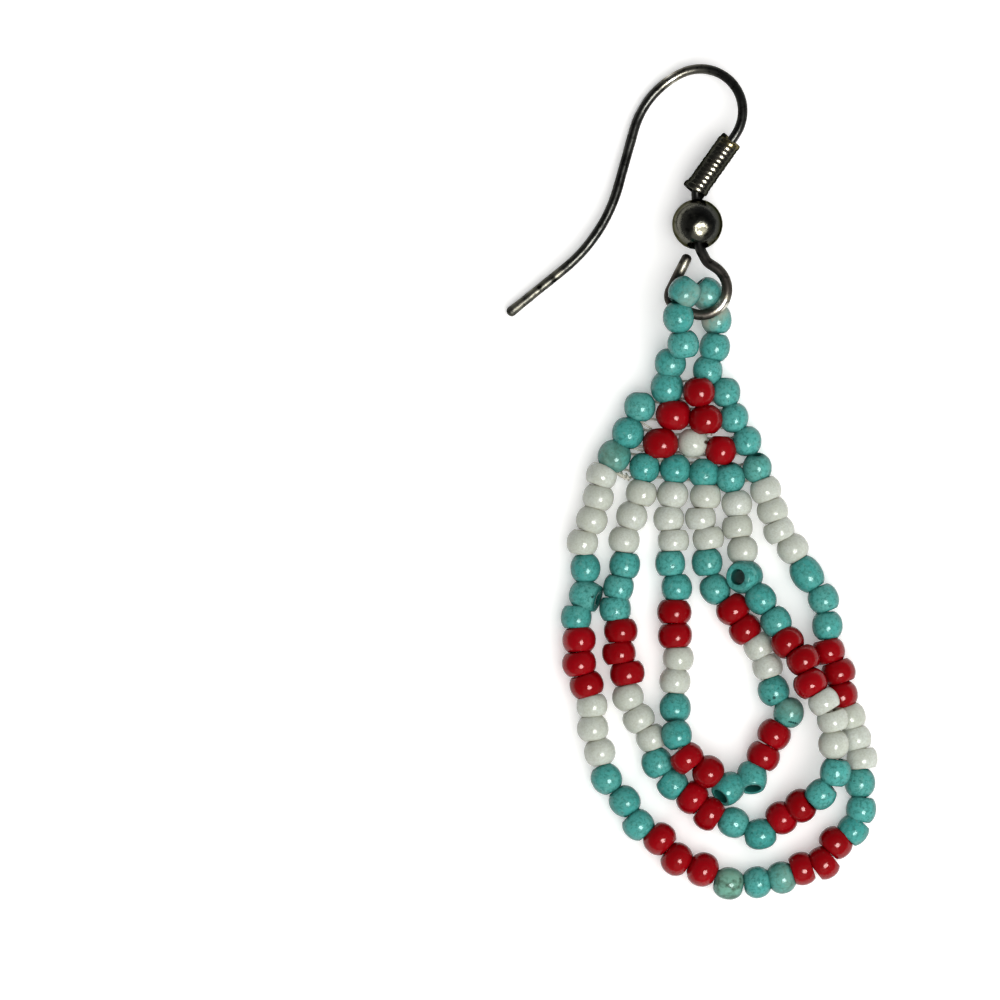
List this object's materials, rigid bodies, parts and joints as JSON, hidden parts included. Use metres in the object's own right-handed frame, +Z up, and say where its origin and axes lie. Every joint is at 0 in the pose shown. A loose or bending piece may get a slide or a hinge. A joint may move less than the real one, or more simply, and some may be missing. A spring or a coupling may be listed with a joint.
{
  "type": "seed bead earring",
  "caption": "Drop earring lying flat: French ear wire with coil and ball, woven bead triangle and nested loops of turquoise, red and white beads.",
  "frame": {"origin": "middle of the lying earring's outline, on the surface that it lies on", "axes": "+Z up from the surface, +Y from the bead loops towards the ear wire's arch, +X to the right as seen from above with the arch at the top"},
  "size_m": [0.0231, 0.052, 0.0041],
  "materials": {
    "steel": "polished",
    "turquoise": "gloss",
    "red": "gloss",
    "white": "gloss",
    "thread": "matte"
  },
  "bodies": {
    "root": {"ear_hook": "steel", "wire_coil": "steel", "ball_bead": "steel", "hanging_loop": "turquoise", "woven_top": "turquoise", "outer_loop": "turquoise", "middle_loop": "turquoise", "inner_loop": "turquoise"}
  },
  "joints": []
}
